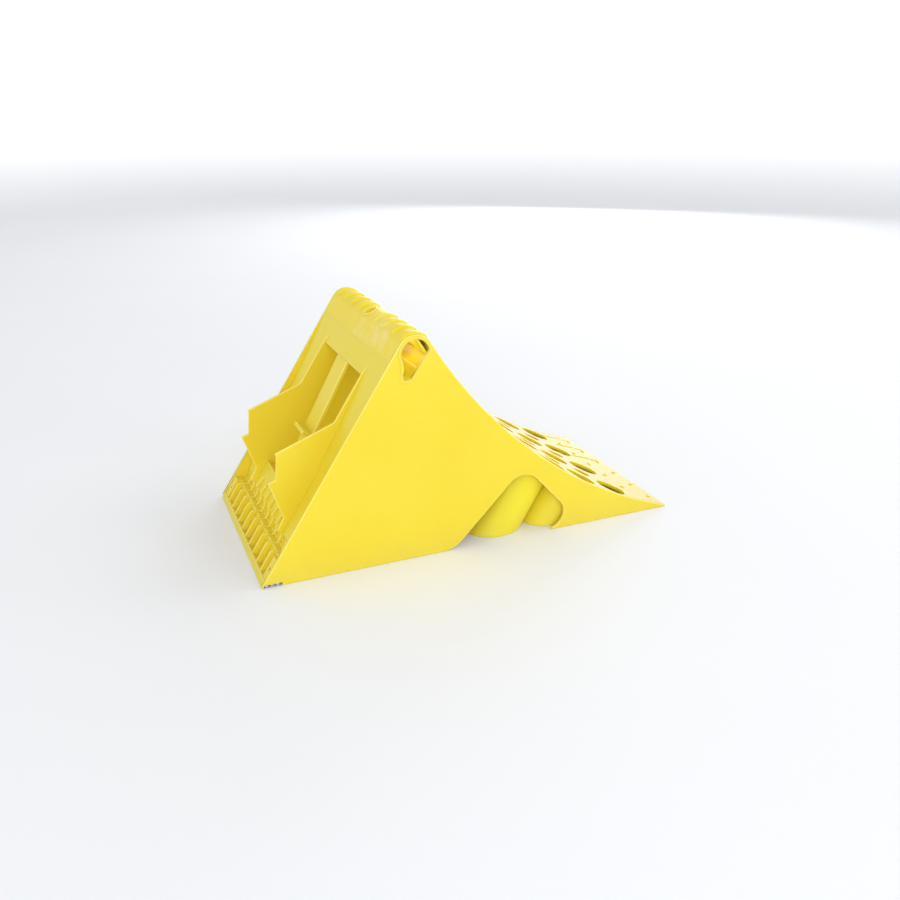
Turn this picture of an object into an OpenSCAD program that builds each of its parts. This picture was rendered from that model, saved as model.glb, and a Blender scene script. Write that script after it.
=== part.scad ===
// Truck wheel chock for wheels of size group 53, a hollow thin-walled plastic moulding
// with a steel claw strip screwed under its heel.
// Origin: centre of the base on the road. +X points from the heel to the toe, +Z is up.
// The tyre rests on the curved face, whose axis runs along Y.

/* [Body] */
// Length along the road, from heel to toe
length = 470; // [464:1:476]
// Width across the tyre
width = 230; // [228:1:236]
// Radius of the curved tyre face
tyre_r = 530; // [525:1:535]
// Slope of the rear face above the road, degrees
rear_slope = 57; // [56.5:0.1:57.5]
// Slope of the tyre face at the toe, degrees
toe_slope = 17.4; // [17.2:0.1:17.6]
// Height of the blunt toe edge
toe_t = 2; // [1.5:0.1:2.5]
// Thickness of the moulded walls
wall = 4; // [3.6:0.1:4]

/* [Crown] */
// Outer radius of the crown tube
crown_r = 18.5; // [18.3:0.1:19]
// Radius of the bore through the crown tube
crown_bore_r = 14.5; // [14:0.1:14.5]
// Height of the grip ribs on the crown
grip_rib_h = 2; // [1:0.1:2.2]
// Radius of the rope eye in the middle of the crown
eye_r = 6; // [5:0.5:7]

/* [Tyre face] */
// Diameter of the large holes
big_hole_d = 35; // [30:1:38]
// Diameter of the small holes between them
small_hole_d = 20; // [16:1:22]
// Distance between rows of large holes, along the curve
row_pitch = 46; // [46:1:48]
// Distance between large holes across the width
hole_pitch = 61; // [60:1:62]
// Number of rows of large holes
big_rows = 5; // [3:1:5]

/* [Holder pocket] */
// Distance of each wing from the middle
wing_y = 68; // [66:0.5:69]
// Thickness of the wings
wing_t = 3; // [2.5:0.1:3.5]
// Depth of the pocket behind the rear face
pocket_depth = 38; // [34:1:40]
// Width of the latch tongue
tongue_w = 33; // [28:1:36]

/* [Support tubes] */
// Outer radius of the tubes under the tyre face
tube_r = 27.8; // [26:0.1:28]
// Lean of the tubes above the road, degrees
tube_lean = 59; // [58:1:60]

/* [Heel] */
// Distance between the ribs of the heel grating
rib_pitch = 19.4; // [19:0.1:19.6]
// Thickness of those ribs
rib_t = 2.6; // [2:0.1:3]
// Thickness of the steel claw strip
claw_t = 1.5; // [1.2:0.1:1.8]

/* [Hidden] */
$fn = 64;
YELLOW = [0.95, 0.82, 0.20];
DEEP_YELLOW = [0.92, 0.74, 0.16];
STEEL = [0.62, 0.63, 0.65];
ZINC = [0.75, 0.75, 0.77];
CURVE_FN = 720;
CROWN_STEPS = 32;
EPS = 0.01;

// Side view, in the XZ plane, with the heel's lower corner at [0, 0].
function unit(angle) = [cos(angle), sin(angle)];
slope_u = unit(rear_slope);
slope_n = unit(rear_slope + 90);
function at(s, d) = s * slope_u + d * slope_n;
tyre_c = [length + tyre_r * sin(toe_slope), toe_t + tyre_r * cos(toe_slope)];
to_tyre = tyre_c + crown_r * slope_n;
along = to_tyre * slope_u;
crown_s = along - sqrt(along * along - to_tyre * to_tyre + pow(tyre_r + crown_r, 2));
crown_c = at(crown_s, -crown_r);
tyre_angle = atan2(tyre_c[1] - crown_c[1], tyre_c[0] - crown_c[0]);
joint_r = crown_r + 8;
crown_low = crown_c[1] - crown_r;

// Across the width
cheek_t = wall;
collar_h = 1;
collar_w = 2.4;
cheek_y = width / 2 - collar_h;
inner_y = cheek_y - cheek_t;
wing_out = wing_y + wing_t / 2;
wing_in = wing_y - wing_t / 2;

// Up the rear face, measured from the heel
foot_floor = -6;
trough_floor = -13;
flange_floor = -10;
bend_s = 115;
flush_s = 250;
rail_top = 8;
grating_top = 33;
trough_end = 46;
pocket_low = 75;
pocket_high = 225;
wing_high = 236;
tongue_end = 122;
wing_lip_top = 228;
wing_lip_low = 171;
floor_t = 3;
function panel_d(s) = s > bend_s ? flange_floor * (flush_s - s) / (flush_s - bend_s) : flange_floor;

// Keyhole funnel below the crown bore, measured from the bore's centre. The cheeks keep their
// plate to the toe side of the line from FUNNEL_TOP to FUNNEL_LOW.
FUNNEL_TOP = [13.9, 2.5];
FUNNEL_LOW = [-4.5, -23.5];
FUNNEL = [
    [-13.4, -3], [-12.1, -13], [-13.4, -19], [-12.8, -24.6], [-5.5, -24.6], FUNNEL_LOW, [2, -14.3], [0, 0]
];

// Corners of a wing's free edge, from its tip down to the trough
WING_TIP = [[32.1, 119.5], [33.4, 116.5], [31, 92.2], [23, 89.6], [35.8, 49.6]];

// Outside of the channel that carries on the funnel from cheek to cheek
CHANNEL = [
    [-17, -5], [-14.8, -13], [-16.1, -19.5], [-15.4, -27.1], [-3.3, -27.1], [-1.9, -24.6], [5, -15], [0, 0]
];

// Thin wall inside the bore, parallel to the tyre face: its distance from the bore's centre
// and its thickness
inner_wall_d = 8.6;
inner_wall_t = 2.2;

// Arch cut into both cheeks
arch_left_x = 203.4;
arch_rise = [0.699, 0.715];
arch_top_c = [283, 50];
arch_top_r = 22;
arch_toe_c = [316, 20];
arch_toe_r = 18;
arch_foot_x = 321;
// direction square to the sloping edge between the two rounds
arch_square = [0.722, 0.691];
heel_round_c = [191.2, 29];
heel_round_r = 29;
// where the heel side's rounded corner runs out into the rising edge
heel_round_end = heel_round_c + heel_round_r * [arch_rise[1], -arch_rise[0]];

// Support tubes
tube_wall = 4.6;
tube_x = [262.8, 330];
tube_y = [-79, 0, 79];

// Heel claws, on a strip that lies behind a lip of the heel
lip_x = 2.6;
lip_z = 0.4;
claw_end = 20;
claw_z = 2.2;
claw_cols = 24;
claw_pitch = 9.74;
claw_row_x = [5.4, 10.8, 16.2];
claw_base_r = 2.2;
claw_tip_r = 0.3;
prong_w = 3.2;
screw_y = [-86.4, -28.8, 28.8, 86.4];
screw_x = 15;
screw_r = 2;
screw_top = 8.4;
screw_head_r = 4.2;
heel_base_z = claw_z + claw_t;

web_y = 39.5;
web_t = 3;
toe_bar_x = 430;
cross_x = [118, 196];
cross_t = 3;
row_start = 408;

BIG_ROW_ANGLE = row_pitch / tyre_r * 180 / PI;
first_row_angle = tyre_turn(row_start);

// Extrudes a side view between two distances across the width.
module slab(y_low, y_high) {
    translate([-length / 2, y_high, 0]) rotate([90, 0, 0]) linear_extrude(y_high - y_low) children();
}

module mirrored(side) {
    if (side < 0) children();
    else mirror([0, 1, 0]) children();
}

module tyre_circle(extra = 0) {
    translate(tyre_c) circle(tyre_r + extra, $fn = CURVE_FN);
}

module crown_circle(radius) {
    translate(crown_c) circle(radius, $fn = 128);
}

// Whole outline of the chock from the side, without its cut-outs.
module side_outline() {
    rear_angle = rear_slope + 90;
    turn = (tyre_angle - rear_angle) / CROWN_STEPS;
    crown_arc = [for (i = [0:CROWN_STEPS]) crown_c + crown_r * unit(rear_angle + turn * i)];
    difference() {
        polygon(concat([[0, 0]], crown_arc, [tyre_c, [length, toe_t], [length, 0]]));
        tyre_circle();
    }
}

// Crown bore with the funnel that opens below it.
module crown_slot() {
    crown_circle(crown_bore_r);
    translate(crown_c) polygon(FUNNEL);
}

// The same opening where it goes through a cheek, which keeps its plate on the toe side.
module keyhole() {
    difference() {
        crown_slot();
        translate(crown_c) polygon([FUNNEL_TOP, FUNNEL_LOW, FUNNEL_LOW + [40, 0], FUNNEL_TOP + [30, 0]]);
    }
}

module arch_opening() {
    top_left = arch_top_c + arch_top_r * [-arch_rise[1], arch_rise[0]];
    top_right = arch_top_c + arch_top_r * arch_square;
    toe_right = arch_toe_c + arch_toe_r * arch_square;
    polygon([
        [arch_left_x - 1, -1], top_left, arch_top_c, top_right, toe_right, arch_toe_c, [arch_foot_x, -1]
    ]);
    translate(arch_top_c) circle(arch_top_r);
    translate(arch_toe_c) circle(arch_toe_r);
    difference() {
        polygon([[heel_round_c[0], -1], [arch_left_x + 10, -1], heel_round_end + [1, 1]]);
        translate(heel_round_c) circle(heel_round_r, $fn = 128);
    }
}

// Rear wall seen from the side, as a bent sheet between two heights on the slope.
module rear_sheet(s_low, s_high) {
    bends = [for (s = [bend_s, flush_s]) if (s > s_low && s < s_high) s];
    stations = concat([s_low], bends, [s_high]);
    outer = [for (s = stations) at(s, s > flush_s ? 0 : panel_d(s))];
    inner = [for (i = [len(stations) - 1:-1:0])
        at(stations[i], (stations[i] > flush_s ? 0 : panel_d(stations[i])) - wall)];
    polygon(concat(outer, inner));
}

module skin_section() {
    difference() {
        intersection() {
            side_outline();
            tyre_circle(wall);
        }
        crown_circle(joint_r);
    }
}

module cheek(side) {
    color(YELLOW) mirrored(side) slab(-cheek_y, -inner_y) difference() {
        side_outline();
        keyhole();
        arch_opening();
        // notch over the end of the claw strip
        translate([lip_x, -1]) square([claw_end + 1 - lip_x, heel_base_z + 1]);
    }
}

module keyhole_collar(side) {
    color(YELLOW) mirrored(side) slab(-width / 2, -cheek_y) difference() {
        intersection() {
            offset(r = collar_w, $fn = 32) keyhole();
            side_outline();
        }
        keyhole();
    }
}

module crown_tube() {
    color(YELLOW) difference() {
        slab(-inner_y, inner_y) difference() {
            intersection() {
                side_outline();
                crown_circle(joint_r);
            }
            hollow_below_crown();
            crown_slot();
        }
        eye_place() cylinder(r = eye_r, h = crown_r + 5);
    }
}

// Hollow between the rear wall and the tyre face, up to the crown tube.
module hollow_below_crown() {
    difference() {
        polygon([
            at(0, -wall), at(crown_s + crown_r, -wall),
            at(crown_s + crown_r, -length), at(0, -length)
        ]);
        tyre_circle(wall);
        crown_circle(crown_r);
    }
}

module crown_channel() {
    color(DEEP_YELLOW) slab(-inner_y, inner_y) difference() {
        translate(crown_c) polygon(CHANNEL);
        translate(crown_c) polygon(FUNNEL);
        crown_circle(crown_r);
    }
}

module crown_inner_wall() {
    color(DEEP_YELLOW) slab(-inner_y, inner_y) intersection() {
        crown_circle(crown_bore_r);
        translate(crown_c) rotate(tyre_angle)
            translate([inner_wall_d, -crown_r]) square([inner_wall_t, 2 * crown_r]);
    }
}

// Puts its children on the crown's axis, pointing out through the rope eye.
module eye_place() {
    translate([crown_c[0] - length / 2, 0, crown_c[1]]) rotate([0, -22, 0]) children();
}

module rope_eye_collar() {
    collar_w = 2.2;
    color(YELLOW) difference() {
        eye_place() cylinder(r = eye_r + collar_w, h = crown_r + 1);
        eye_place() cylinder(r = eye_r, h = crown_r + 5);
        slab(-width, width) crown_circle(crown_r);
    }
}

module crown_grip_ribs() {
    rib_w = 13;
    rib_y = [-106, -80, -54, -28, 28, 54, 80, 106];
    color(YELLOW) for (y = rib_y) slab(y - rib_w / 2, y + rib_w / 2)
        intersection() {
            difference() {
                crown_circle(crown_r + grip_rib_h);
                crown_circle(crown_r);
            }
            translate(crown_c) polygon([[0, 0], [60, 42], [60, 80], [-60, 80], [-60, 45]]);
        }
}

// Rows of holes: each row is turned about the tyre's axis.
module on_tyre_face(angle) {
    translate([tyre_c[0] - length / 2, 0, tyre_c[1]]) rotate([0, angle, 0])
        translate([0, 0, -tyre_r]) children();
}

// Angle about the tyre's axis of a place at a distance from the heel.
function tyre_turn(x) = asin((tyre_c[0] - x) / tyre_r);

module tread_hole(y, d) {
    translate([0, y, -3 * wall]) cylinder(d = d, h = 6 * wall);
}

module tread_holes() {
    for (row = [0:big_rows - 1]) on_tyre_face(first_row_angle + row * BIG_ROW_ANGLE)
        for (i = [-1.5:1:1.5]) tread_hole(i * hole_pitch, big_hole_d);
    for (row = [0:big_rows - 2]) on_tyre_face(first_row_angle + (row + 0.5) * BIG_ROW_ANGLE)
        for (i = [-1:1]) tread_hole(i * hole_pitch, small_hole_d);
}

module tread_skin() {
    color(YELLOW) difference() {
        slab(-inner_y, inner_y) skin_section();
        tread_holes();
    }
}

module tread_studs() {
    stud_r = 2.4;
    stud_h = 1.2;
    stud_pitch = 37;
    rows = [[461, 2.5], [436, 2]];
    color(YELLOW) for (row = rows) on_tyre_face(tyre_turn(row[0]))
        for (i = [-row[1]:1:row[1]]) translate([0, i * stud_pitch, 0]) cylinder(r = stud_r, h = stud_h);
}

module tread_bars() {
    bar = [13, 1.4, 0.8];
    bar_x = [432, 446, 460];
    bar_step = [0, 2, 0];
    color(YELLOW) for (y = [24, 64, 98], i = [0:2]) on_tyre_face(tyre_turn(bar_x[i]))
        translate([-bar[0] / 2, y + bar_step[i], 0]) cube(bar);
}

module toe_bar() {
    color(YELLOW) slab(-inner_y, inner_y) difference() {
        intersection() {
            side_outline();
            translate([toe_bar_x, 0]) square([length, length]);
        }
        tyre_circle(wall);
    }
}

module rear_header() {
    color(YELLOW) {
        slab(-inner_y, inner_y) difference() {
            rear_sheet(wing_high, crown_s);
            crown_circle(joint_r);
        }
        slab(-wing_in, wing_in) rear_sheet(pocket_high, wing_high);
    }
}

module flange(side) {
    color(YELLOW) mirrored(side) slab(-inner_y, -wing_out) rear_sheet(trough_end, wing_high);
}

// Side wall of the pocket, which stands out behind the rear face as a guide for the holder.
module wing(side) {
    deep = -pocket_depth - floor_t;
    color(YELLOW) mirrored(side) slab(-wing_out, -wing_in) polygon([
        at(wing_high, panel_d(wing_high) - wall), at(wing_high, -1),
        at(wing_lip_top, 0), at(wing_lip_low, 0),
        WING_TIP[0], WING_TIP[1], WING_TIP[2], WING_TIP[3], WING_TIP[4],
        at(trough_end, -4), at(trough_end, flange_floor - wall),
        at(pocket_low - floor_t, flange_floor - wall), at(pocket_low - floor_t, deep),
        at(pocket_high + floor_t, deep), at(pocket_high + floor_t, panel_d(pocket_high) - wall)
    ]);
}

module pocket_floor() {
    deep = -pocket_depth - floor_t;
    color(DEEP_YELLOW) slab(-wing_in, wing_in) polygon([
        at(pocket_low - floor_t, -pocket_depth), at(pocket_high + floor_t, -pocket_depth),
        at(pocket_high + floor_t, deep), at(pocket_low - floor_t, deep)
    ]);
}

module pocket_roof() {
    color(DEEP_YELLOW) slab(-wing_in, wing_in) polygon([
        at(pocket_high, panel_d(pocket_high) - wall),
        at(pocket_high + floor_t, panel_d(pocket_high + floor_t) - wall),
        at(pocket_high + floor_t, -pocket_depth), at(pocket_high, -pocket_depth)
    ]);
}

module pocket_sill() {
    color(YELLOW) slab(-wing_in, wing_in) polygon([
        at(trough_end, flange_floor), at(pocket_low, flange_floor), at(pocket_low, -pocket_depth),
        at(pocket_low - floor_t, -pocket_depth), at(pocket_low - floor_t, flange_floor - wall),
        at(trough_end, flange_floor - wall)
    ]);
}

module sill_ribs() {
    color(YELLOW) for (i = [-2.5:1:2.5]) slab(i * rib_pitch - rib_t / 2, i * rib_pitch + rib_t / 2)
        polygon([at(trough_end, flange_floor), at(trough_end + 1, -6), at(66, flange_floor)]);
}

module latch_tongue() {
    color(YELLOW) slab(-tongue_w / 2, tongue_w / 2) rear_sheet(tongue_end, pocket_high);
}

module latch_catch() {
    catch_low = 135;
    catch_high = 140;
    catch_top = 3;
    color(YELLOW) slab(-tongue_w / 2, tongue_w / 2) polygon([
        at(catch_low, panel_d(catch_low)), at(catch_low + 1, catch_top), at(catch_high, catch_top),
        at(catch_high, panel_d(catch_high))
    ]);
}

// Everything above the claw strip.
module above_claws() {
    translate([0, heel_base_z]) square([length, length]);
}

module heel_plate() {
    color(YELLOW) difference() {
        slab(-inner_y, inner_y) intersection() {
            above_claws();
            polygon([
                at(0, foot_floor), at(grating_top - 1, foot_floor), at(grating_top + 2, trough_floor),
                at(trough_end - 4, trough_floor), at(trough_end, flange_floor),
                at(trough_end, flange_floor - wall), at(trough_end - 3, trough_floor - floor_t),
                at(grating_top, trough_floor - floor_t), at(grating_top - 4, foot_floor - floor_t),
                at(0, foot_floor - floor_t)
            ]);
        }
        screw_holes();
    }
}

module heel_rail() {
    color(YELLOW) slab(-inner_y, inner_y) difference() {
        polygon([at(0, 0), at(rail_top, 0), at(rail_top, foot_floor), at(0, foot_floor)]);
        translate([lip_x, -length + heel_base_z]) square(length);
        translate([-length, -length + lip_z]) square([2 * length, length]);
    }
}

// Flat corner plate beside each cheek, with a drain hole.
module heel_web(side) {
    web_w = 12;
    hole_s = 20;
    hole_r = 2;
    web_top = -1;
    color(YELLOW) mirrored(side) difference() {
        slab(-inner_y, -inner_y + web_w) intersection() {
            above_claws();
            polygon([
                at(rail_top, web_top), at(grating_top - 2, web_top),
                at(grating_top - 1, foot_floor), at(rail_top, foot_floor)
            ]);
        }
        translate([at(hole_s, 0)[0] - length / 2, -inner_y + web_w / 2, at(hole_s, 0)[1]])
            rotate([0, rear_slope - 90, 0]) translate([0, 0, foot_floor]) cylinder(r = hole_r, h = 10);
    }
}

module heel_rib(number) {
    y = (number - 5.5) * rib_pitch;
    wall_d = -10;
    color(YELLOW) slab(y - rib_t / 2, y + rib_t / 2) intersection() {
        above_claws();
        union() {
            grating_rib();
            // low wall across the trough
            polygon([
                at(grating_top - 1, foot_floor), at(grating_top, foot_floor + 1),
                at(grating_top + 1.5, wall_d), at(trough_end - 4, wall_d),
                at(trough_end, flange_floor + 1), at(trough_end, flange_floor),
                at(trough_end - 4, trough_floor), at(grating_top + 2, trough_floor)
            ]);
        }
    }
}

// Upper part of a heel rib, with its rounded nose.
module grating_rib() {
    nose_r = 4;
    difference() {
        polygon([
            at(rail_top, foot_floor), at(rail_top, 0), at(grating_top, 0),
            at(grating_top, foot_floor + 1), at(grating_top - 1, foot_floor)
        ]);
        difference() {
            polygon([
                at(grating_top - nose_r, EPS), at(grating_top + EPS, EPS), at(grating_top + EPS, -nose_r)
            ]);
            translate(at(grating_top - nose_r, -nose_r)) circle(nose_r);
        }
    }
}

module support_tube(x, y) {
    below = 40;
    tube_l = 170;
    color(DEEP_YELLOW) difference() {
        translate([x - length / 2, y, 0]) rotate([0, 90 - tube_lean, 0]) translate([0, 0, -below])
            difference() {
                cylinder(r = tube_r, h = tube_l);
                translate([0, 0, -1]) cylinder(r = tube_r - tube_wall, h = tube_l + 2);
            }
        translate([-length, -width, -2 * below]) cube([2 * length, 2 * width, 2 * below]);
        slab(-width, width) tyre_circle(wall);
    }
}

// Upright web along the chock, between the tubes and under the tyre face.
module long_web(side) {
    color(DEEP_YELLOW) mirrored(side) slab(-web_y - web_t / 2, -web_y + web_t / 2) difference() {
        polygon([
            [cross_x[0] + cross_t, 0], [toe_bar_x, 0], [toe_bar_x, 60],
            crown_c + [60, -30], crown_c + [0, -joint_r], [cross_x[0] + cross_t, 150]
        ]);
        tyre_circle(wall);
        crown_circle(joint_r + 3);
        slope_keep_out();
    }
}

// Everything behind the inner face of the pocket.
module slope_keep_out() {
    deep = -pocket_depth - floor_t;
    polygon([at(-50, deep), at(400, deep), at(400, 200), at(-50, 200)]);
}

module cross_walls(x) {
    web_in = web_y - web_t / 2;
    web_out = web_y + web_t / 2;
    spans = [[-inner_y, -web_out], [-web_in, web_in], [web_out, inner_y]];
    color(DEEP_YELLOW) for (span = spans) slab(span[0], span[1]) difference() {
        translate([x, 0]) square([cross_t, length]);
        tyre_circle(wall);
        crown_circle(joint_r);
        slope_keep_out();
        translate([x - 1, crown_low - 12]) square([cross_t + 2, length]);
    }
}

// The strip's points stand clear of the screw heads.
function to_screw(x, y) = min([for (ys = screw_y) norm([x - screw_x, y - ys])]);

// A thin plate with rows of points, and prongs that reach out under the cheeks.
module claw_strip() {
    claw_y = [for (col = [0:claw_cols - 1]) (col - (claw_cols - 1) / 2) * claw_pitch];
    color(STEEL) difference() {
        translate([-length / 2, 0, 0]) {
            translate([lip_x, -inner_y, claw_z]) cube([claw_end - lip_x, 2 * inner_y, claw_t]);
            for (x = claw_row_x) {
                translate([x - prong_w / 2, -cheek_y, claw_z]) cube([prong_w, 2 * cheek_y, claw_t]);
                for (y = claw_y) if (to_screw(x, y) > screw_head_r + claw_base_r) translate([x, y, 0])
                    rotate(45) cylinder(r1 = claw_tip_r, r2 = claw_base_r, h = claw_z + EPS, $fn = 4);
            }
        }
        at_screws() translate([0, 0, -1]) cylinder(r = screw_r, h = 10);
    }
}

module at_screws() {
    for (y = screw_y) translate([screw_x - length / 2, y, 0]) children();
}

module claw_screws() {
    head_h = 1.4;
    color(ZINC) at_screws() {
        translate([0, 0, claw_z - head_h]) cylinder(r = screw_head_r, h = head_h);
        translate([0, 0, claw_z - EPS]) cylinder(r = screw_r, h = screw_top - claw_z + EPS);
    }
}

// Thick places under the heel plate that hold the claw screws.
module claw_bosses() {
    boss_r = 5;
    boss_top = 12;
    color(YELLOW) difference() {
        at_screws() translate([0, 0, heel_base_z]) cylinder(r = boss_r, h = boss_top - heel_base_z);
        slab(-width, width) above_heel_plate();
        screw_holes();
    }
}

// Everything on the outer side of the heel plate's inner face.
module above_heel_plate() {
    plate_d = foot_floor - floor_t;
    polygon([at(-length, plate_d), at(length, plate_d), at(length, length), at(-length, length)]);
}

module screw_holes() {
    at_screws() cylinder(r = screw_r, h = screw_top);
}

cheek(-1);  // right_cheek
cheek(1);  // left_cheek
keyhole_collar(-1);  // right_keyhole_collar
keyhole_collar(1);  // left_keyhole_collar
crown_tube();
crown_channel();
crown_inner_wall();
crown_grip_ribs();
rope_eye_collar();
tread_skin();
tread_studs();
tread_bars();
toe_bar();
rear_header();
flange(-1);  // right_flange
flange(1);  // left_flange
wing(-1);  // right_wing
wing(1);  // left_wing
pocket_floor();
pocket_roof();
pocket_sill();
sill_ribs();
latch_tongue();
latch_catch();
heel_plate();
heel_rail();
heel_web(-1);  // right_heel_web
heel_web(1);  // left_heel_web
heel_rib(1);  // heel_rib_1
heel_rib(2);  // heel_rib_2
heel_rib(3);  // heel_rib_3
heel_rib(4);  // heel_rib_4
heel_rib(5);  // heel_rib_5
heel_rib(6);  // heel_rib_6
heel_rib(7);  // heel_rib_7
heel_rib(8);  // heel_rib_8
heel_rib(9);  // heel_rib_9
heel_rib(10);  // heel_rib_10
support_tube(tube_x[0], tube_y[0]);  // tube_rear_right
support_tube(tube_x[0], tube_y[1]);  // tube_rear_middle
support_tube(tube_x[0], tube_y[2]);  // tube_rear_left
support_tube(tube_x[1], tube_y[0]);  // tube_front_right
support_tube(tube_x[1], tube_y[1]);  // tube_front_middle
support_tube(tube_x[1], tube_y[2]);  // tube_front_left
long_web(-1);  // right_long_web
long_web(1);  // left_long_web
cross_walls(cross_x[0]);  // rear_cross_walls
cross_walls(cross_x[1]);  // front_cross_walls
claw_strip();
claw_bosses();
claw_screws();
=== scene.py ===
import math

import bmesh
import bpy
from mathutils import Matrix, Vector
from mathutils.bvhtree import BVHTree


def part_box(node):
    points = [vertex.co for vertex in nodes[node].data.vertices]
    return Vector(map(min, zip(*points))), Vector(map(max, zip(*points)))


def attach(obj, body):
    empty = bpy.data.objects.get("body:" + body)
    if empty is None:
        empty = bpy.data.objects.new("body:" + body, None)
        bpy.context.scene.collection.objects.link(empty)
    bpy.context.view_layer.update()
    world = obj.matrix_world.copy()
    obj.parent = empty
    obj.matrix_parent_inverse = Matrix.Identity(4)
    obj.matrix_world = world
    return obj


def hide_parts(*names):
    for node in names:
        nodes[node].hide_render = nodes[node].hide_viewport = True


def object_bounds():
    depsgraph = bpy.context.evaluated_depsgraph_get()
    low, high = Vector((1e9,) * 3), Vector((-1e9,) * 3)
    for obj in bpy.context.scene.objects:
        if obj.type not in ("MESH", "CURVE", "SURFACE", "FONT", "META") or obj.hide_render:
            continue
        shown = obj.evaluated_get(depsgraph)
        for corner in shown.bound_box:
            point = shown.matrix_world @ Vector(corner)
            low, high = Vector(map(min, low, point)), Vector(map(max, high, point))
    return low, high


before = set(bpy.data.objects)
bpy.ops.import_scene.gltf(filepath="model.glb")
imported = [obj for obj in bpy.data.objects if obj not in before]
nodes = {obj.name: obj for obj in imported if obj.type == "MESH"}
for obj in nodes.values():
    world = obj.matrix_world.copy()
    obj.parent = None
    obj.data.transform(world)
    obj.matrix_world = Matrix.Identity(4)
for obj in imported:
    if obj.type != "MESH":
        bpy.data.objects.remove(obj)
cad_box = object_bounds()
LOW, HIGH = cad_box
MM = 0.001

# Driving sizes, as in the CAD, in metres and radians
TYRE_R = 530 * MM
TOE_SLOPE = math.radians(17.4)
TOE_EDGE = 2 * MM
WALL = 4 * MM
CROWN_R = 18.5 * MM
CROWN_FROM_HEEL = 163.19 * MM
TUBE_R = 27.8 * MM
TUBE_WALL = 4.6 * MM
TUBE_LEAN = math.radians(59)
BIG_HOLE_R = 17.5 * MM
SMALL_HOLE_R = 10 * MM
ROW_PITCH = 46 * MM
HOLE_PITCH = 61 * MM
BIG_ROWS = 5
FIRST_ROW_X = 173 * MM

# Mesh tolerances: points this close are one point, and edges this short are closed up
WELD = 0.002 * MM
SHORTEST_EDGE = 0.2 * MM

TYRE_AXIS = Vector((
    HIGH.x + TYRE_R * math.sin(TOE_SLOPE), 0, TOE_EDGE + TYRE_R * math.cos(TOE_SLOPE)))
CROWN_AXIS = Vector((LOW.x + CROWN_FROM_HEEL, 0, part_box("crown_tube")[1].z - CROWN_R))


# ---------------------------------------------------------------- materials

def new_material(name):
    """A material with its node tree, its Principled shader and a maker of linked nodes."""
    material = bpy.data.materials.new(name)
    material.use_nodes = True
    tree = material.node_tree
    shader = tree.nodes["Principled BSDF"]

    def make(kind, inputs=None, **settings):
        node = tree.nodes.new(kind)
        for key, value in settings.items():
            setattr(node, key, value)
        for key, value in (inputs or {}).items():
            if isinstance(value, bpy.types.NodeSocket):
                tree.links.new(value, node.inputs[key])
            else:
                node.inputs[key].default_value = value
        return node

    return material, tree, shader, make


DUST_TINT = (0.50, 0.40, 0.16)
DUST_TOP = 0.035
SCRATCH_SCALE = (30.0, 420.0, 300.0)
SCRATCH_TURN = (0.0, 0.35, 0.5)
DEEP_GLOW = (0.012, 0.008, 0.001)


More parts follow.
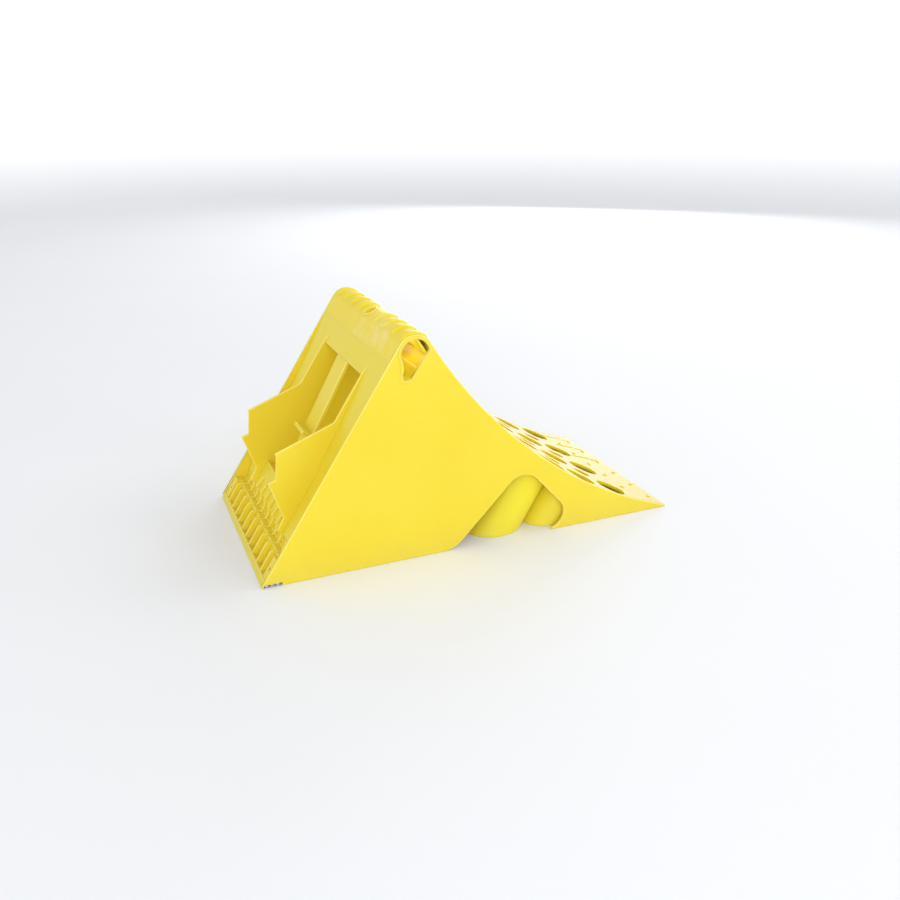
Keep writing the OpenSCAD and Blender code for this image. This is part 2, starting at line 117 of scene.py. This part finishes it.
def moulded_plastic(name, base, deep, pale, grain_bump=0.10, sheen_and_scuffs=0.15, painted_sheen=0.0,
                    rough=(0.36, 0.46), translucent=0.15, depth=(0.006, 0.004, 0.0008)):
    """Yellow moulded plastic: slow colour drift, fine grain, pale scuff marks and painted sheen
    patches, and dust near the road.

    depth is how far red, green and blue light travels in the plastic, in metres.
    """
    material, tree, shader, make = new_material(name)
    place = make("ShaderNodeTexCoord").outputs["Object"]
    drift = make("ShaderNodeTexNoise", {
        "Vector": place, "Scale": 9.0, "Detail": 3.0, "Roughness": 0.5})
    ramp = make("ShaderNodeValToRGB", {"Fac": drift.outputs["Fac"]})
    ramp.color_ramp.elements[0].position = 0.32
    ramp.color_ramp.elements[0].color = (*deep, 1)
    ramp.color_ramp.elements[1].position = 0.66
    ramp.color_ramp.elements[1].color = (*base, 1)

    # rubbed places, where sparse large patches meet fine scratches, and a painted sheen on the
    # patches alone
    patch = make("ShaderNodeTexNoise", {
        "Vector": place, "Scale": 17.0, "Detail": 5.0, "Roughness": 0.62})
    sheen_and_scuff_patches = make("ShaderNodeMapRange", {
        "Value": patch.outputs["Fac"], "From Min": 0.56, "From Max": 0.74,
        "To Min": 0.0, "To Max": sheen_and_scuffs})
    long_way = make("ShaderNodeMapping", {
        "Vector": place, "Rotation": SCRATCH_TURN, "Scale": SCRATCH_SCALE})
    scratch = make("ShaderNodeTexNoise", {
        "Vector": long_way.outputs["Vector"], "Scale": 1.0, "Detail": 4.0})
    scratch_mask = make("ShaderNodeMapRange", {
        "Value": scratch.outputs["Fac"], "From Min": 0.55, "From Max": 0.70,
        "To Min": 0.0, "To Max": 1.0})
    rubbed = make("ShaderNodeMath", {
        0: sheen_and_scuff_patches.outputs["Result"], 1: scratch_mask.outputs["Result"]}, operation="MULTIPLY")
    # where the sheen setting is above zero, the patches go pale even without scratches: a painted
    # sheen
    sheen_and_scuff_whitening = make("ShaderNodeMath", {
        0: sheen_and_scuff_patches.outputs["Result"], 1: painted_sheen, 2: rubbed.outputs["Value"]},
        operation="MULTIPLY_ADD", use_clamp=True)
    worn_and_sheened = make("ShaderNodeMix", {
        "Factor": sheen_and_scuff_whitening.outputs["Value"], "A": ramp.outputs["Color"], "B": (*pale, 1)},
        data_type="RGBA")

    # a little road dust low down
    height = make("ShaderNodeSeparateXYZ", {"Vector": place})
    low_down = make("ShaderNodeMapRange", {
        "Value": height.outputs["Z"], "From Min": 0.0, "From Max": DUST_TOP,
        "To Min": 0.28, "To Max": 0.0})
    dust_noise = make("ShaderNodeTexNoise", {
        "Vector": place, "Scale": 60.0, "Detail": 6.0, "Roughness": 0.7})
    dust = make("ShaderNodeMath", {
        0: low_down.outputs["Result"], 1: dust_noise.outputs["Fac"]}, operation="MULTIPLY")
    dusty = make("ShaderNodeMix", {
        "Factor": dust.outputs["Value"], "A": worn_and_sheened.outputs["Result"], "B": (*DUST_TINT, 1)},
        data_type="RGBA")
    tree.links.new(dusty.outputs["Result"], shader.inputs["Base Color"])

    # uneven gloss, duller where the plastic is rubbed
    sheen_noise = make("ShaderNodeTexNoise", {
        "Vector": place, "Scale": 38.0, "Detail": 4.0, "Roughness": 0.6})
    gloss = make("ShaderNodeMapRange", {
        "Value": sheen_noise.outputs["Fac"], "From Min": 0.3, "From Max": 0.7,
        "To Min": rough[0], "To Max": rough[1]})
    rougher = make("ShaderNodeMath", {
        0: rubbed.outputs["Value"], 1: 0.25, 2: gloss.outputs["Result"]}, operation="MULTIPLY_ADD")
    tree.links.new(rougher.outputs["Value"], shader.inputs["Roughness"])

    # mould grain, slow waves of shrinkage and the scratches, one bump on top of another
    grain = make("ShaderNodeTexNoise", {
        "Vector": place, "Scale": 900.0, "Detail": 2.0, "Roughness": 0.5})
    fine = make("ShaderNodeBump", {
        "Height": grain.outputs["Fac"], "Strength": grain_bump, "Distance": 0.0004})
    waves = make("ShaderNodeTexNoise", {
        "Vector": place, "Scale": 14.0, "Detail": 1.0, "Roughness": 0.4})
    sink = make("ShaderNodeBump", {
        "Height": waves.outputs["Fac"], "Strength": 0.12, "Distance": 0.003,
        "Normal": fine.outputs["Normal"]})
    scratched = make("ShaderNodeBump", {
        "Height": rubbed.outputs["Value"], "Strength": 0.25, "Distance": 0.0003,
        "Normal": sink.outputs["Normal"]})
    tree.links.new(scratched.outputs["Normal"], shader.inputs["Normal"])
    shader.inputs["IOR"].default_value = 1.5
    shader.inputs["Specular IOR Level"].default_value = 0.24
    shader.inputs["Subsurface Weight"].default_value = translucent
    shader.inputs["Subsurface Radius"].default_value = depth
    shader.inputs["Subsurface Scale"].default_value = 1.0
    return material


def zinc_plate(name, light, dark, rough_low, rough_high):
    """Zinc-plated steel: soft spangle, fine drawing lines and a few dull spots."""
    material, tree, shader, make = new_material(name)
    place = make("ShaderNodeTexCoord").outputs["Object"]
    spangle = make("ShaderNodeTexVoronoi", {"Vector": place, "Scale": 260.0, "Randomness": 1.0})
    cloud = make("ShaderNodeTexNoise", {
        "Vector": place, "Scale": 90.0, "Detail": 5.0, "Roughness": 0.6})
    blend = make("ShaderNodeMath", {
        0: spangle.outputs["Distance"], 1: cloud.outputs["Fac"]}, operation="ADD")
    ramp = make("ShaderNodeValToRGB", {"Fac": blend.outputs["Value"]})
    ramp.color_ramp.elements[0].position = 0.45
    ramp.color_ramp.elements[0].color = (*dark, 1)
    ramp.color_ramp.elements[1].position = 1.0
    ramp.color_ramp.elements[1].color = (*light, 1)
    tree.links.new(ramp.outputs["Color"], shader.inputs["Base Color"])
    gloss = make("ShaderNodeMapRange", {
        "Value": cloud.outputs["Fac"], "From Min": 0.3, "From Max": 0.7,
        "To Min": rough_low, "To Max": rough_high})
    tree.links.new(gloss.outputs["Result"], shader.inputs["Roughness"])
    lines = make("ShaderNodeMapping", {"Vector": place, "Scale": (1800.0, 60.0, 1800.0)})
    drawn = make("ShaderNodeTexNoise", {
        "Vector": lines.outputs["Vector"], "Scale": 1.0, "Detail": 3.0})
    bump = make("ShaderNodeBump", {
        "Height": drawn.outputs["Fac"], "Strength": 0.15, "Distance": 0.0002})
    tree.links.new(bump.outputs["Normal"], shader.inputs["Normal"])
    shader.inputs["Metallic"].default_value = 1.0
    return material


# Each finish: its main colour, the deeper one it drifts to, and the pale one of its scuff marks and
# painted sheen
YELLOW = moulded_plastic(
    "yellow_plastic", (0.855, 0.695, 0.048), (0.845, 0.665, 0.038), (0.92, 0.84, 0.45))
# a brighter copy of the yellow, painted light, for the tubes and the crown's bore
PAINTED_LIGHT_YELLOW = moulded_plastic(
    "painted_light_yellow_plastic", (0.900, 0.750, 0.036), (0.890, 0.720, 0.028), (0.93, 0.84, 0.40),
    translucent=0.3, depth=DEEP_GLOW)
# a deeper orange copy of the yellow, painted shade, for recesses and the walls of holes
PAINTED_SHADE_YELLOW = moulded_plastic(
    "painted_shade_yellow_plastic", (0.880, 0.665, 0.024), (0.865, 0.620, 0.018), (0.93, 0.80, 0.35),
    translucent=0.3, depth=DEEP_GLOW)
# the crown: its pale patches are partly scuff marks and partly painted sheen
RUBBED_WITH_PAINTED_SHEEN = moulded_plastic(
    "rubbed_painted_sheen_yellow_plastic", (0.880, 0.700, 0.036), (0.870, 0.665, 0.028), (0.94, 0.86, 0.62),
    grain_bump=0.16, sheen_and_scuffs=0.6, painted_sheen=0.5, translucent=0.2)
GLOSSY = moulded_plastic(
    "glossy_yellow_plastic", (0.905, 0.720, 0.040), (0.900, 0.695, 0.034), (0.95, 0.87, 0.50),
    grain_bump=0.05, rough=(0.26, 0.34))
GLOSSY.node_tree.nodes["Principled BSDF"].inputs["Coat Weight"].default_value = 0.8
GLOSSY.node_tree.nodes["Principled BSDF"].inputs["Coat Roughness"].default_value = 0.16
# a paler yellow for rounded edges: a painted highlight, with painted sheen patches
PAINTED_EDGE_HIGHLIGHT = moulded_plastic(
    "painted_highlight_edge_plastic", (0.930, 0.790, 0.190), (0.920, 0.760, 0.130), (0.96, 0.90, 0.60),
    sheen_and_scuffs=0.5, painted_sheen=0.4)
CLAW_STEEL = zinc_plate("claw_steel", (0.72, 0.73, 0.75), (0.42, 0.43, 0.45), 0.28, 0.45)
SCREW_ZINC = zinc_plate("screw_zinc", (0.80, 0.80, 0.81), (0.55, 0.55, 0.57), 0.20, 0.34)


# ---------------------------------------------------------------- mesh helpers

def finish_mesh(name, bm, *materials, angle=40):
    """Makes the piece from a bmesh, smooth except at edges sharper than the angle."""
    bmesh.ops.recalc_face_normals(bm, faces=bm.faces)
    for face in bm.faces:
        face.smooth = True
    limit = math.radians(angle)
    for edge in bm.edges:
        edge.smooth = not (edge.is_manifold and edge.calc_face_angle(0) > limit)
    mesh = bpy.data.meshes.new(name)
    bm.to_mesh(mesh)
    bm.free()
    for material in materials:
        mesh.materials.append(material)
    piece = bpy.data.objects.new(name, mesh)
    bpy.context.scene.collection.objects.link(piece)
    return piece


def weigh_normals(piece):
    """Big faces keep their own direction, so that only the rounded edges shade as round."""
    weighted = piece.modifiers.new("weighted_normals", "WEIGHTED_NORMAL")
    weighted.keep_sharp = True
    weighted.weight = 100
    return piece


def add_piece(piece, slot, *stands_for):
    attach(piece, "root")
    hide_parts(*stands_for)
    return piece


def neighbours_of(name):
    """A search tree of every other node's surface, to find where this node meets them."""
    points, faces = [], []
    for other, obj in nodes.items():
        if other == name:
            continue
        start = len(points)
        points += [v.co.copy() for v in obj.data.vertices]
        faces += [tuple(start + i for i in p.vertices) for p in obj.data.polygons]
    return BVHTree.FromPolygons(points, faces)


def is_seam(edge, tree, reach=0.06 * MM):
    """An edge is a seam where the node goes on into a neighbour of the same moulding."""
    a, b = (v.co for v in edge.verts)
    for share in (0.2, 0.5, 0.8):
        found = tree.find_nearest(a.lerp(b, share), reach)
        if found[0] is None:
            return False
    return True


def cad_mesh(name):
    """The node's own mesh, welded, with flat regions as single faces."""
    bm = bmesh.new()
    bm.from_mesh(nodes[name].data)
    bmesh.ops.remove_doubles(bm, verts=bm.verts, dist=WELD)
    bmesh.ops.dissolve_limit(bm, angle_limit=math.radians(0.03), verts=bm.verts, edges=bm.edges)
    bmesh.ops.remove_doubles(bm, verts=bm.verts, dist=SHORTEST_EDGE)
    return bm


def rounded(name, radius, material=YELLOW, slot="yellow_plastic", edge=PAINTED_EDGE_HIGHLIGHT, segments=2,
            corner=28):
    """A piece on a CAD node's shape, with its free edges rounded and, by default, in a paler yellow
    as a painted highlight.
    """
    bm = cad_mesh(name)
    tree = neighbours_of(name)
    limit = math.radians(corner)
    edges = [e for e in bm.edges
             if e.is_manifold and e.calc_face_angle(0) > limit and not is_seam(e, tree)]
    # the bevel faces take the second material, by default the paler yellow of the painted highlight
    bmesh.ops.bevel(bm, geom=edges, offset=radius, offset_type="OFFSET", segments=segments,
                    profile=0.5, affect="EDGES", clamp_overlap=False, loop_slide=True, material=1)
    bmesh.ops.remove_doubles(bm, verts=bm.verts, dist=WELD)
    bmesh.ops.triangulate(
        bm, faces=[f for f in bm.faces if len(f.verts) > 4], ngon_method="EAR_CLIP")
    piece = finish_mesh("v_" + name, bm, material, edge, angle=46)
    return add_piece(weigh_normals(piece), slot, name)


def circle_points(cx, cy, r, count):
    return [(cx + r * math.cos(2 * math.pi * i / count), cy + r * math.sin(2 * math.pi * i / count))
            for i in range(count)]


def turned(bm, cx, cy, z, profile, count):
    """A round shape from pairs of radius and height, with a single point where a radius is zero."""
    rings = []
    for r, h in profile:
        points = circle_points(cx, cy, r, count) if r else [(cx, cy)]
        rings.append([bm.verts.new((x, y, z + h)) for x, y in points])
    for low, high in zip(rings, rings[1:]):
        for i in range(count):
            j = (i + 1) % count
            corners = [low[i % len(low)], low[j % len(low)],
                       high[j % len(high)], high[i % len(high)]]
            bm.faces.new(list(dict.fromkeys(corners)))


# ---------------------------------------------------------------- tyre face

HOLE_SIDES = 56
HOLE_ROUND = 1.0 * MM
BEND_STEP = 5 * MM
SKIN_TUCK = 0.5 * MM


def on_tyre(along, y, out):
    """A point of the tyre face: along the arc from below its axis, and out of the plastic."""
    angle = along / TYRE_R
    reach = TYRE_R - out
    return Vector((TYRE_AXIS.x - reach * math.sin(angle), y, TYRE_AXIS.z - reach * math.cos(angle)))


def tyre_face():
    """The perforated skin: made flat with rounded holes, then bent onto the tyre's arc."""
    low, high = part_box("tread_skin")
    start = TYRE_R * math.asin((TYRE_AXIS.x - high.x) / TYRE_R)
    end = TYRE_R * math.asin((TYRE_AXIS.x - low.x) / (TYRE_R + WALL)) + SKIN_TUCK
    first = TYRE_R * math.asin((TYRE_AXIS.x - FIRST_ROW_X) / TYRE_R)
    half = high.y
    holes = [(first + row * ROW_PITCH, i * HOLE_PITCH, BIG_HOLE_R)
             for row in range(BIG_ROWS) for i in (-1.5, -0.5, 0.5, 1.5)]
    holes += [(first + (row + 0.5) * ROW_PITCH, i * HOLE_PITCH, SMALL_HOLE_R)
              for row in range(BIG_ROWS - 1) for i in (-1, 0, 1)]

    bm = bmesh.new()
    loops = [[(start, -half), (end, -half), (end, half), (start, half)]]
    loops += [circle_points(*hole, HOLE_SIDES) for hole in holes]
    for loop in loops:
        verts = [bm.verts.new((a, b, 0)) for a, b in loop]
        for i in range(len(verts)):
            bm.edges.new((verts[i], verts[(i + 1) % len(verts)]))
    bmesh.ops.triangle_fill(
        bm, use_beauty=True, use_dissolve=False, edges=bm.edges[:], normal=(0, 0, 1))
    grown = bmesh.ops.extrude_face_region(bm, geom=bm.faces[:])
    for item in grown["geom"]:
        if isinstance(item, bmesh.types.BMVert):
            item.co.z = -WALL
    bmesh.ops.recalc_face_normals(bm, faces=bm.faces)
    hole_edges = [e for e in bm.edges if e.is_manifold and e.calc_face_angle(0) > 1
                  and not is_outer(e, start, end, half)]
    bmesh.ops.bevel(bm, geom=hole_edges, offset=HOLE_ROUND, segments=3, profile=0.5,
                    affect="EDGES", clamp_overlap=True)
    # the walls of the holes are in the deeper orange copy of the yellow, painted shade
    for face in bm.faces:
        if abs(face.normal.z) < 0.8:
            face.material_index = 1
    for i in range(1, int((end - start) / BEND_STEP)):
        bmesh.ops.bisect_plane(bm, geom=bm.verts[:] + bm.edges[:] + bm.faces[:], dist=1e-7,
                               plane_co=(start + i * BEND_STEP, 0, 0), plane_no=(1, 0, 0))
    for v in bm.verts:
        v.co = on_tyre(v.co.x, v.co.y, v.co.z)
    keep_inside(bm, "tread_skin")
    piece = finish_mesh("v_tread_skin", bm, GLOSSY, PAINTED_SHADE_YELLOW, angle=50)
    return add_piece(weigh_normals(piece), "yellow_plastic", "tread_skin")


def is_outer(edge, start, end, half):
    """True for the edges round the outside of the flat plate."""
    return all(min(abs(v.co.x - start), abs(v.co.x - end), abs(abs(v.co.y) - half)) < 1e-6
               for v in edge.verts)


# ---------------------------------------------------------------- support tubes

TUBE_INTO_SKIN = 0.2 * MM
TUBE_FOOT_ROUND = 1.1 * MM


def up_to_skin(point, direction):
    """How far a line from a point goes until it meets the back of the tyre face."""
    reach = TYRE_R + WALL - TUBE_INTO_SKIN
    flat = Vector((point.x - TYRE_AXIS.x, 0, point.z - TYRE_AXIS.z))
    along = Vector((direction.x, 0, direction.z))
    b, c = flat.dot(along), flat.dot(flat) - reach * reach
    return -b - math.sqrt(b * b - c)


def support_tube(name, count=96):
    """A leaning tube, cut level at the road and by the tyre face, with a rounded foot."""
    low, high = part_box(name)
    direction = Vector((math.cos(TUBE_LEAN), 0, math.sin(TUBE_LEAN)))
    side = Vector((0, 1, 0))
    across = direction.cross(side)
    y = (low.y + high.y) / 2
    foot = Vector((low.x + TUBE_R / math.sin(TUBE_LEAN), y, 0))
    bm = bmesh.new()
    rings = []
    for radius in (TUBE_R, TUBE_R - TUBE_WALL):
        bottom, top = [], []
        for i in range(count):
            turn = 2 * math.pi * i / count
            point = foot + radius * (math.cos(turn) * side + math.sin(turn) * across)
            ground = point - direction * (point.z / direction.z)
            bottom.append(bm.verts.new(ground))
            top.append(bm.verts.new(ground + direction * up_to_skin(ground, direction)))
        rings.append((bottom, top))
    (out_low, out_top), (in_low, in_top) = rings
    feet = []
    for i in range(count):
        j = (i + 1) % count
        bm.faces.new((out_low[i], out_low[j], out_top[j], out_top[i]))
        bm.faces.new((in_low[j], in_low[i], in_top[i], in_top[j]))
        feet.append(bm.faces.new((out_low[j], out_low[i], in_low[i], in_low[j])))
        bm.faces.new((out_top[i], out_top[j], in_top[j], in_top[i]))
    rim = {e for f in feet for e in f.edges if sum(1 for g in e.link_faces if g in feet) == 1}
    bmesh.ops.recalc_face_normals(bm, faces=bm.faces)
    bmesh.ops.bevel(bm, geom=list(rim), offset=TUBE_FOOT_ROUND, segments=3, profile=0.5,
                    affect="EDGES", clamp_overlap=True)
    # the tube in the brighter copy of the yellow, painted light
    piece = finish_mesh("v_" + name, bm, PAINTED_LIGHT_YELLOW, angle=50)
    return add_piece(weigh_normals(piece), "yellow_plastic", name)


# ---------------------------------------------------------------- crown

# The grip bands run over this much of the crown. Their edges and roots lie under its surface.
GRIP_FIRST, GRIP_LAST = math.radians(36), math.radians(142)
GRIP_SINK = 0.15 * MM
GRIP_ROOT = 0.6 * MM


def grip_band(bm, y_low, y_high, height, count=40, steps=16):
    """A soft raised band over the crown between two places across the width."""
    first, last = GRIP_FIRST, GRIP_LAST
    rows = []
    for k in range(steps + 1):
        share = k / steps
        side = min(share, 1 - share) * 4
        swell = 1 if side >= 1 else side * side * (3 - 2 * side)
        row = []
        for i in range(count + 1):
            turn = first + (last - first) * i / count
            fade = min(1, 7 * min(i, count - i) / count) ** 2
            radius = CROWN_R - GRIP_SINK + (height + GRIP_SINK) * swell * fade
            row.append(bm.verts.new((
                CROWN_AXIS.x + radius * math.cos(turn), y_low + (y_high - y_low) * share,
                CROWN_AXIS.z + radius * math.sin(turn))))
        rows.append(row)
    inner = CROWN_R - GRIP_ROOT
    base = []
    for y in (y_low, y_high):
        base.append([bm.verts.new((
            CROWN_AXIS.x + inner * math.cos(first + (last - first) * i / count), y,
            CROWN_AXIS.z + inner * math.sin(first + (last - first) * i / count)))
            for i in range(count + 1)])
    for k in range(steps):
        for i in range(count):
            bm.faces.new((rows[k][i], rows[k][i + 1], rows[k + 1][i + 1], rows[k + 1][i]))
    for i in range(count):
        bm.faces.new((rows[0][i + 1], rows[0][i], base[0][i], base[0][i + 1]))
        bm.faces.new((rows[steps][i], rows[steps][i + 1], base[1][i + 1], base[1][i]))
        bm.faces.new((base[0][i + 1], base[0][i], base[1][i], base[1][i + 1]))
    for i in (0, count):
        bm.faces.new([rows[k][i] for k in range(steps + 1)] + [base[1][i], base[0][i]])


def grip_bands():
    """All the raised bands of the crown, one piece on the places of the CAD ribs."""
    bm = bmesh.new()
    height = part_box("crown_grip_ribs")[1].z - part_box("crown_tube")[1].z
    spans = []
    for part in solids_of("crown_grip_ribs"):
        spans.append((min(p.y for p in part), max(p.y for p in part)))
    for low, high in sorted(spans):
        grip_band(bm, low, high, height)
    keep_inside(bm, "crown_grip_ribs")
    # in the crown's finish: pale patches partly scuff marks, partly painted sheen
    piece = finish_mesh("v_crown_grip_ribs", bm, RUBBED_WITH_PAINTED_SHEEN, angle=60)
    return add_piece(piece, "yellow_plastic", "crown_grip_ribs")


def keep_inside(bm, name):
    """Holds a piece within the CAD node's own box."""
    low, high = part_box(name)
    for v in bm.verts:
        v.co = [max(a, min(b, c)) for a, b, c in zip(low, high, v.co)]


def solids_of(name):
    """The separate solids of a node, each as a list of its points."""
    bm = bmesh.new()
    bm.from_mesh(nodes[name].data)
    bmesh.ops.remove_doubles(bm, verts=bm.verts, dist=WELD)
    parts, seen = [], set()
    for start in bm.verts:
        if start in seen:
            continue
        stack, part = [start], []
        seen.add(start)
        while stack:
            v = stack.pop()
            part.append(v.co.copy())
            for e in v.link_edges:
                other = e.other_vert(v)
                if other not in seen:
                    seen.add(other)
                    stack.append(other)
        parts.append(part)
    bm.free()
    return parts


# ---------------------------------------------------------------- screws

# Radius and height of a pan-head screw from its head up, in mm, and its cross recess
SCREW_PROFILE = [(0.0, 0.0), (2.6, 0.05), (3.5, 0.35), (4.05, 0.85),
                 (4.2, 1.4), (2.0, 1.4), (2.0, 7.2), (0.0, 7.6)]
SCREW_SIDES = 40
RECESS = (4.4 * MM, 0.9 * MM, 1.9 * MM)
RECESS_TURN = 0.4


def claw_screws():
    """Pan-head screws, head down, with a cross recess."""
    bm, cut = bmesh.new(), bmesh.new()
    profile = [(r * MM, h * MM) for r, h in SCREW_PROFILE]
    for part in solids_of("claw_screws"):
        x = sum((min(p.x for p in part), max(p.x for p in part))) / 2
        y = sum((min(p.y for p in part), max(p.y for p in part))) / 2
        z = min(p.z for p in part)
        turned(bm, x, y, z, profile, SCREW_SIDES)
        for turn in (RECESS_TURN, RECESS_TURN + math.pi / 2):
            made = bmesh.ops.create_cube(cut, size=1)
            spin = Matrix.Rotation(turn, 3, "Z")
            bmesh.ops.scale(cut, verts=made["verts"], vec=RECESS)
            bmesh.ops.rotate(cut, verts=made["verts"], cent=(0, 0, 0), matrix=spin)
            bmesh.ops.translate(cut, verts=made["verts"], vec=(x, y, z))
    piece = finish_mesh("v_claw_screws", bm, SCREW_ZINC, angle=35)
    cutter = finish_mesh("cross_cutter", cut, SCREW_ZINC)
    boolean = piece.modifiers.new("cross", "BOOLEAN")
    boolean.operation = "DIFFERENCE"
    boolean.solver = "EXACT"
    boolean.use_self = True
    boolean.object = cutter
    apply_modifiers(piece)
    bpy.data.objects.remove(cutter)
    return add_piece(piece, "screw_zinc", "claw_screws")


def apply_modifiers(piece):
    """Replaces the piece's mesh by what its modifiers make of it."""
    bpy.context.view_layer.update()
    graph = bpy.context.evaluated_depsgraph_get()
    made = bpy.data.meshes.new_from_object(piece.evaluated_get(graph))
    piece.modifiers.clear()
    piece.data = made


# ---------------------------------------------------------------- all the pieces

# Radius of each node's rounded edges, in mm
RADIUS = {
    "right_cheek": 0.9, "left_cheek": 0.9, "right_keyhole_collar": 0.4, "left_keyhole_collar": 0.4,
    "crown_tube": 0.8, "crown_channel": 0.5, "crown_inner_wall": 0.4,
    "rope_eye_collar": 0.5, "toe_bar": 0.5, "rear_header": 0.7,
    "right_flange": 0.7, "left_flange": 0.7, "right_wing": 0.9, "left_wing": 0.9,
    "pocket_floor": 0.6, "pocket_roof": 0.6, "pocket_sill": 0.8, "sill_ribs": 0.5,
    "latch_tongue": 0.9, "latch_catch": 0.8, "heel_plate": 0.8, "heel_rail": 0.8,
    "right_heel_web": 0.35, "left_heel_web": 0.35, "right_long_web": 0.6, "left_long_web": 0.6,
    "rear_cross_walls": 0.6, "front_cross_walls": 0.6, "claw_bosses": 0.3,
    "tread_studs": 0.35, "tread_bars": 0.25,
}
HEEL_RIB_RADIUS = 0.5
CLAW_RADIUS = 0.2

# Nodes that aren't in the plain yellow finish
# recesses and inner walls in the deeper orange copy of the yellow, painted shade
PAINTED_SHADE_NODES = {"heel_plate", "pocket_floor", "pocket_roof", "right_long_web", "left_long_web",
        "rear_cross_walls", "front_cross_walls"}
FINISH = {name: PAINTED_SHADE_YELLOW for name in PAINTED_SHADE_NODES}
# the crown's channel and inner wall in the brighter copy of the yellow, painted light; the crown
# with painted sheen patches as well as scuff marks
FINISH.update({"crown_channel": PAINTED_LIGHT_YELLOW, "crown_inner_wall": PAINTED_LIGHT_YELLOW, "crown_tube": RUBBED_WITH_PAINTED_SHEEN,
               "tread_studs": GLOSSY, "tread_bars": GLOSSY})

for node_name, size in RADIUS.items():
    rounded(node_name, size * MM, FINISH.get(node_name, YELLOW))
for number in range(1, 11):
    rounded(f"heel_rib_{number}", HEEL_RIB_RADIUS * MM)
tyre_face()
for node_name in sorted(n for n in nodes if n.startswith("tube_")):
    support_tube(node_name)
grip_bands()
rounded("claw_strip", CLAW_RADIUS * MM, CLAW_STEEL, "claw_steel", CLAW_STEEL, segments=1)
claw_screws()


# ---------------------------------------------------------------- floor, light and camera

FLOOR_DARK = (0.855, 0.870, 0.900)
FLOOR_PALE = (0.880, 0.895, 0.925)
BACKDROP_GLOW = 0.34
GLOW_HEIGHT = 0.2


def floor_bowl(radius=3.0, lip=2.2, count=96, steps=14):
    """A pale floor whose rim curves up all round, so that every view has a plain backdrop."""
    profile = [(radius * k / 6, 0) for k in range(7)]
    for k in range(1, steps + 1):
        turn = math.pi / 2 * k / steps
        profile.append((radius + lip * math.sin(turn), lip * (1 - math.cos(turn))))
    bm = bmesh.new()
    turned(bm, 0, 0, 0, profile, count)
    material, tree, shader, make = new_material("pale_floor")
    place = make("ShaderNodeTexCoord").outputs["Object"]
    speck = make("ShaderNodeTexNoise", {"Vector": place, "Scale": 3.0, "Detail": 2.0})
    ramp = make("ShaderNodeValToRGB", {"Fac": speck.outputs["Fac"]})
    ramp.color_ramp.elements[0].color = (*FLOOR_DARK, 1)
    ramp.color_ramp.elements[1].color = (*FLOOR_PALE, 1)
    tree.links.new(ramp.outputs["Color"], shader.inputs["Base Color"])
    shader.inputs["Roughness"].default_value = 0.8
    shader.inputs["Specular IOR Level"].default_value = 0.15
    height = make("ShaderNodeSeparateXYZ", {"Vector": place})
    lit = make("ShaderNodeMapRange", {
        "Value": height.outputs["Z"], "From Min": 0.0, "From Max": GLOW_HEIGHT,
        "To Min": 0.0, "To Max": BACKDROP_GLOW})
    tree.links.new(lit.outputs["Result"], shader.inputs["Emission Strength"])
    shader.inputs["Emission Color"].default_value = (1, 1, 1, 1)
    floor = finish_mesh("floor", bm, material)
    floor.location.z = LOW.z


# Name, place, width and power of each lamp. All of them aim at the chock's middle.
LAMPS = [
    ("key", (2.0, -0.3, 1.7), 1.3, 11),
    ("front_key", (1.6, -1.9, 1.8), 1.2, 8),
    ("fill", (-0.85, -2.1, 1.1), 1.6, 15),
    ("back", (1.5, 2.1, 0.9), 1.6, 16),
]
AIM = Vector((0, 0, 0.08))
WORLD_STRENGTH = 0.69
BORE_LAMP_PLACES = (-85 * MM, -30 * MM, 30 * MM, 85 * MM)
BORE_LAMP_POWER = 0.0042
BORE_LAMP_R = 4 * MM

# The camera, from a fit to the photo's edges, in metres and degrees
CAMERA_PLACE = (-0.3515, -0.8534, 0.4454)
CAMERA_TILT = 67.61
CAMERA_TURN = -23.06
CAMERA_LENS = 34.8
CAMERA_SENSOR = 36


def area_light(name, place, size, energy):
    data = bpy.data.lights.new(name, "AREA")
    data.shape = "DISK"
    data.size = size
    data.energy = energy
    light = bpy.data.objects.new(name, data)
    light.location = place
    light.rotation_euler = (AIM - Vector(place)).to_track_quat("-Z", "Y").to_euler()
    bpy.context.scene.collection.objects.link(light)


def bore_lamps():
    """Small lamps inside the crown stand in for the light that comes through its thin walls."""
    for y in BORE_LAMP_PLACES:
        data = bpy.data.lights.new("bore_lamp", "POINT")
        data.energy = BORE_LAMP_POWER
        data.shadow_soft_size = BORE_LAMP_R
        lamp = bpy.data.objects.new("bore_lamp", data)
        lamp.location = CROWN_AXIS + Vector((-3 * MM, y, 1 * MM))
        lamp.visible_camera = False
        bpy.context.scene.collection.objects.link(lamp)


floor_bowl()
for lamp in LAMPS:
    area_light(*lamp)
bore_lamps()

world = bpy.data.worlds.new("studio")
world.use_nodes = True
world.node_tree.nodes["Background"].inputs["Color"].default_value = (1, 1, 1, 1)
world.node_tree.nodes["Background"].inputs["Strength"].default_value = WORLD_STRENGTH
bpy.context.scene.world = world
bpy.context.scene.view_settings.view_transform = "Standard"

camera_data = bpy.data.cameras.new("camera")
camera_data.sensor_width = CAMERA_SENSOR
camera_data.lens = CAMERA_LENS
camera = bpy.data.objects.new("camera", camera_data)
camera.location = CAMERA_PLACE
camera.rotation_euler = (math.radians(CAMERA_TILT), 0, math.radians(CAMERA_TURN))
bpy.context.scene.collection.objects.link(camera)
bpy.context.scene.camera = camera
